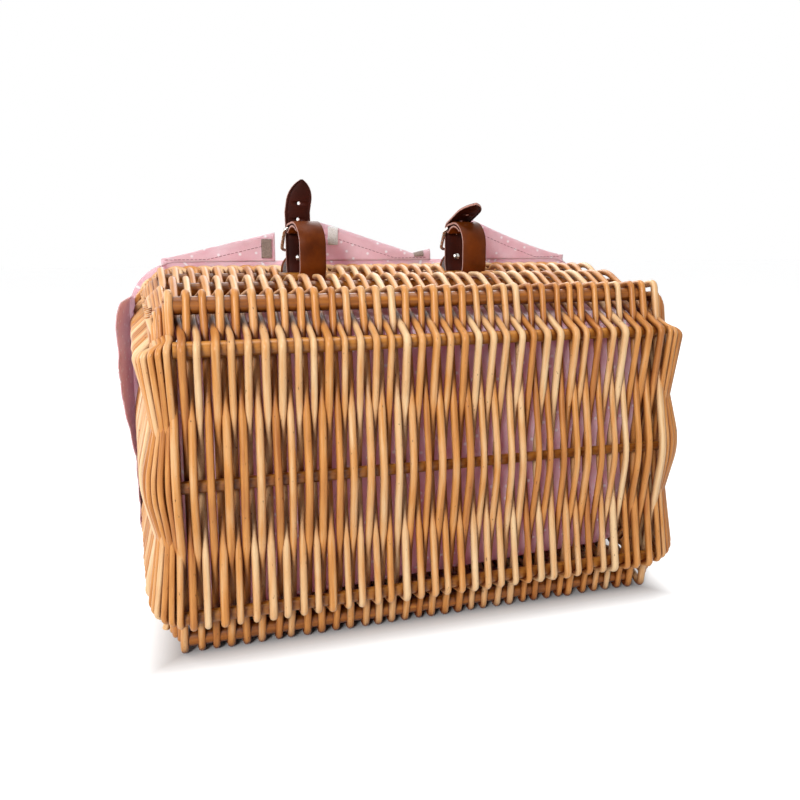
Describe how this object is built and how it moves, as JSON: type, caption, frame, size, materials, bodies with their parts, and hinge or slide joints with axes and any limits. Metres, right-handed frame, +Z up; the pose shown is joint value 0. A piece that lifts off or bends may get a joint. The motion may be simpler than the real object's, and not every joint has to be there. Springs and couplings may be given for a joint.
{
  "type": "handlebar bicycle basket",
  "caption": "Wicker bicycle basket with a cloth lining, hung from the handlebar by buckled leather straps; shown lying on its front wall.",
  "frame": {"origin": "on the surface that the basket lies on, under the centre of its box", "axes": "+X along the basket's width, +Y from its floor to its mouth, +Z up from its front wall to its back wall"},
  "size_m": [0.4416, 0.2322, 0.3215],
  "materials": {
    "willow_rod": "clear-varnished willow rod, honey to tan, with knots",
    "willow_bar": "varnished thick willow, orange-brown",
    "lining_cloth": "dusty pink cotton with small scattered white dots",
    "hook_tape": "white hook-and-loop tape",
    "strap_leather": "smooth brown leather with raw pinkish edges",
    "tab_suede": "grey-brown flesh side with a brown rim",
    "nickel": "polished nickel plate"
  },
  "bodies": {
    "basket": {"floor_weave": "willow_rod", "front_weave": "willow_rod", "back_weave": "willow_rod", "left_end_weave": "willow_rod", "right_end_weave": "willow_rod", "rim_border": "willow_rod", "floor_bar_front": "willow_bar", "floor_bar_middle": "willow_bar", "floor_bar_back": "willow_bar", "front_bar_lower": "willow_bar", "front_bar_middle": "willow_bar", "front_bar_upper": "willow_bar", "back_bar_lower": "willow_bar", "back_bar_middle": "willow_bar", "back_bar_upper": "willow_bar", "left_stake_front": "willow_bar", "left_stake_middle": "willow_bar", "left_stake_back": "willow_bar", "right_stake_front": "willow_bar", "right_stake_middle": "willow_bar", "right_stake_back": "willow_bar", "lining_floor": "lining_cloth", "lining_walls": "lining_cloth", "cuff_skirt": "lining_cloth"},
    "left_flap": {"left_flap": "lining_cloth", "left_flap_loop_tape": "hook_tape"},
    "middle_flap": {"middle_flap": "lining_cloth", "middle_flap_hook_tape": "hook_tape", "middle_flap_loop_tape": "hook_tape"},
    "right_flap": {"right_flap": "lining_cloth", "right_flap_hook_tape": "hook_tape"},
    "left_strap": {"left_strap": "strap_leather", "left_strap_tab": "tab_suede", "left_strap_rivet": "nickel"},
    "left_buckle": {"left_buckle_frame": "nickel"},
    "left_prong": {"left_buckle_prong": "nickel"},
    "right_strap": {"right_strap": "strap_leather", "right_strap_tab": "tab_suede", "right_strap_rivet": "nickel"},
    "right_buckle": {"right_buckle_frame": "nickel"},
    "right_prong": {"right_buckle_prong": "nickel"}
  },
  "joints": [
    {"name": "left_flap_fold", "type": "hinge", "parent": "basket", "child": "left_flap", "pos_m": [0, 0.10874, 0.25237], "axis": [1, 0, 0], "range_deg": [-90, 88]},
    {"name": "middle_flap_fold", "type": "hinge", "parent": "basket", "child": "middle_flap", "pos_m": [0, 0.10874, 0.25237], "axis": [1, 0, 0], "range_deg": [-90, 88]},
    {"name": "right_flap_fold", "type": "hinge", "parent": "basket", "child": "right_flap", "pos_m": [0, 0.10874, 0.25237], "axis": [1, 0, 0], "range_deg": [-90, 88]},
    {"name": "left_strap_swing", "type": "hinge", "parent": "basket", "child": "left_strap", "pos_m": [-0.07, 0.05667, 0.23896], "axis": [1, 0, 0], "range_deg": [-8, 30]},
    {"name": "left_buckle_swing", "type": "hinge", "parent": "left_strap", "child": "left_buckle", "pos_m": [-0.07295, 0.06836, 0.28006], "axis": [0.9744, 0.2249, 0.0059], "range_deg": [0, 12]},
    {"name": "left_prong_swing", "type": "hinge", "parent": "left_buckle", "child": "left_prong", "pos_m": [-0.07295, 0.06836, 0.28006], "axis": [0.9744, 0.2249, 0.0059], "range_deg": [0, 8]},
    {"name": "right_strap_swing", "type": "hinge", "parent": "basket", "child": "right_strap", "pos_m": [0.07, 0.05667, 0.23896], "axis": [1, 0, 0], "range_deg": [-8, 30]},
    {"name": "right_buckle_swing", "type": "hinge", "parent": "right_strap", "child": "right_buckle", "pos_m": [0.06818, 0.06857, 0.28007], "axis": [0.9903, 0.1391, 0.0036], "range_deg": [0, 12]},
    {"name": "right_prong_swing", "type": "hinge", "parent": "right_buckle", "child": "right_prong", "pos_m": [0.06818, 0.06857, 0.28007], "axis": [0.9903, 0.1391, 0.0036], "range_deg": [0, 8]}
  ]
}
